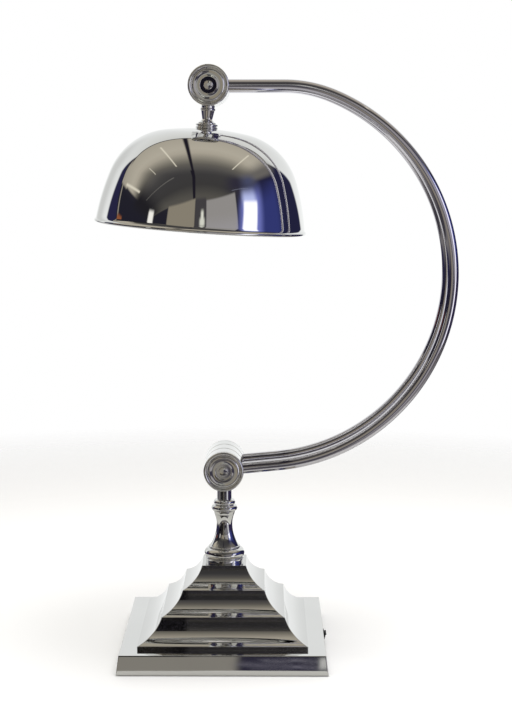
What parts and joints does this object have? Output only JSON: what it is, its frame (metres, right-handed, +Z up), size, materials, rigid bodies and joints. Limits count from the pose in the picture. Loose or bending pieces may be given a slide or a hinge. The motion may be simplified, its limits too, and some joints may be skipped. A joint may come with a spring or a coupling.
{
  "type": "table lamp",
  "caption": "Adjustable table lamp with a stepped square base, turned column, twin-tube bow arm, tilting dome shade and rocker switch.",
  "frame": {"origin": "middle of the base, on the underside of the felt pad that stands on the table", "axes": "+Z up; +X towards the bow of the arm and the switch; +Y towards the back, where the cord gland is; the knuckle pins run along Y"},
  "size_m": [0.3982, 0.233, 0.6483],
  "materials": {
    "nickel": "mirror-polished nickel plate over brass",
    "zinc_steel": "zinc-plated steel",
    "iron": "rough cast iron, black paint",
    "brass": "bare brass, dull",
    "felt": "black pressed felt",
    "black_plastic": "black moulded plastic, satin",
    "white_plastic": "natural nylon",
    "porcelain": "glazed porcelain",
    "fibre": "dark vulcanised fibre",
    "insulation": "clear-grey PVC insulated wire",
    "bulb_glass": "frosted glass"
  },
  "bodies": {
    "base": {"base_pan": "nickel", "stepped_pyramid": "nickel", "column_foot": "nickel", "column_waist": "nickel", "column_collar": "nickel", "threaded_rod": "zinc_steel", "rod_washer": "zinc_steel", "rod_nut": "zinc_steel", "swivel_washer": "brass", "swivel_stop_screw": "zinc_steel", "ballast_plate": "iron", "bottom_cover": "zinc_steel", "felt_pad": "felt", "cover_screws": "zinc_steel", "switch_housing": "black_plastic", "switch_blades": "brass", "switch_leads": "insulation", "cord_gland": "black_plastic", "gland_nut": "zinc_steel", "terminal_block": "white_plastic", "terminal_screws": "zinc_steel", "column_lead": "insulation"},
    "turret": {"turret": "nickel"},
    "arm": {"lower_cheek_front": "nickel", "lower_cheek_rear": "nickel", "lower_cap_front": "nickel", "lower_cap_rear": "nickel", "lower_pin": "nickel", "lower_pin_nut": "nickel", "lower_friction_rings": "fibre", "arm_tube_front": "nickel", "arm_tube_rear": "nickel", "tube_bushes": "white_plastic", "arm_lead": "insulation", "upper_cheek_front": "nickel", "upper_cheek_rear": "nickel", "upper_cap_front": "nickel", "upper_cap_rear": "nickel", "upper_pin": "nickel", "upper_pin_nut": "nickel", "upper_friction_rings": "fibre"},
    "shade": {"upper_hub": "nickel", "shade_stem": "nickel", "shade_dome": "nickel", "shade_nipple": "zinc_steel", "shade_nut": "zinc_steel", "holder_cap": "nickel", "holder_body": "porcelain", "holder_shell": "brass", "centre_contact": "brass", "bulb_base": "brass", "bulb_globe": "bulb_glass", "shade_lead": "insulation"},
    "rocker": {"switch_rocker": "black_plastic"}
  },
  "joints": [
    {"name": "turret_swivel", "type": "hinge", "parent": "base", "child": "turret", "pos_m": [0, 0, 0.168], "axis": [0, 0, 1], "range_deg": [-150, 150]},
    {"name": "arm_tilt", "type": "hinge", "parent": "turret", "child": "arm", "pos_m": [0, 0, 0.2065], "axis": [0, 1, 0], "range_deg": [-25, 25]},
    {"name": "shade_tilt", "type": "hinge", "parent": "arm", "child": "shade", "pos_m": [-0.01508, 0, 0.62623], "axis": [0, 1, 0], "range_deg": [-35, 50]},
    {"name": "switch_rock", "type": "hinge", "parent": "base", "child": "rocker", "pos_m": [0.11161, 0, 0.01112], "axis": [-0.1303, 0, 0.9915], "range_deg": [0, 18]}
  ]
}
